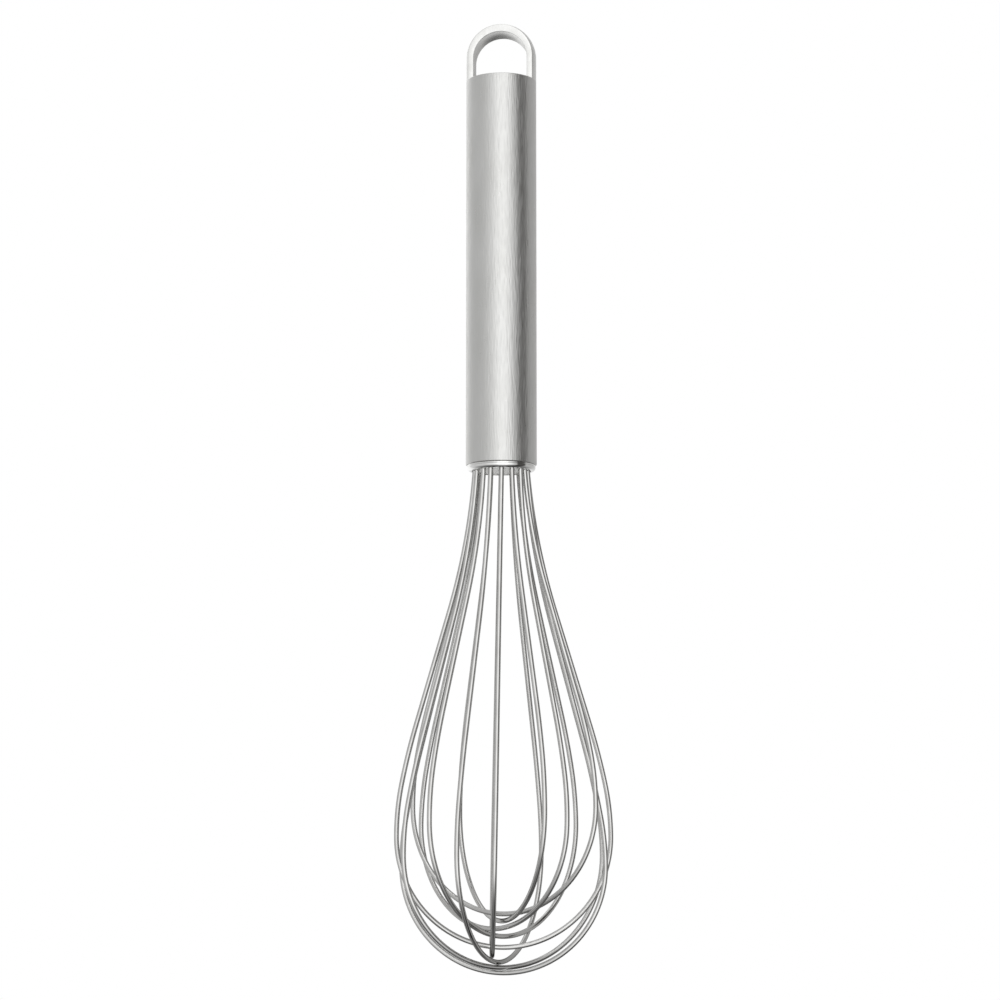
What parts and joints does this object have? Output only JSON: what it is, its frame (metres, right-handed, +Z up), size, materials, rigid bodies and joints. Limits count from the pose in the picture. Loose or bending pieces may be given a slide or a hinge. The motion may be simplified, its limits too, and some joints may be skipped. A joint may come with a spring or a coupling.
{
  "type": "balloon whisk",
  "caption": "Hand whisk with a sealed tubular steel handle, a hanging loop at one end and a balloon of crossed round-wire loops at the other.",
  "frame": {"origin": "the hanging point: inside the hanging loop, at the underside of its crown, on the handle's axis", "axes": "+Z up the handle's axis towards the hanging loop, the balloon of wires below; the hanging loop stands in the XZ plane and its eye opens along Y"},
  "size_m": [0.0654, 0.0658, 0.2959],
  "materials": {
    "handle_steel": "satin brushed stainless steel",
    "loop_steel": "satin outside, bright edges",
    "disc_steel": "plain stainless sheet",
    "collar_steel": "turned and polished stainless steel",
    "wire_steel": "bright drawn stainless wire",
    "plug_plastic": "moulded grey plastic",
    "resin": "cured potting resin",
    "dam_rubber": "soft foam rubber"
  },
  "bodies": {
    "root": {"handle_tube": "handle_steel", "hanging_loop": "loop_steel", "end_disc": "disc_steel", "end_collar": "collar_steel", "wire_plug": "plug_plastic", "potting_resin": "resin", "resin_dam": "dam_rubber", "wire_loop_1": "wire_steel", "wire_loop_2": "wire_steel", "wire_loop_3": "wire_steel", "wire_loop_4": "wire_steel", "wire_loop_5": "wire_steel", "wire_loop_6": "wire_steel", "wire_loop_7": "wire_steel", "wire_loop_8": "wire_steel", "wire_loop_9": "wire_steel"}
  },
  "joints": []
}
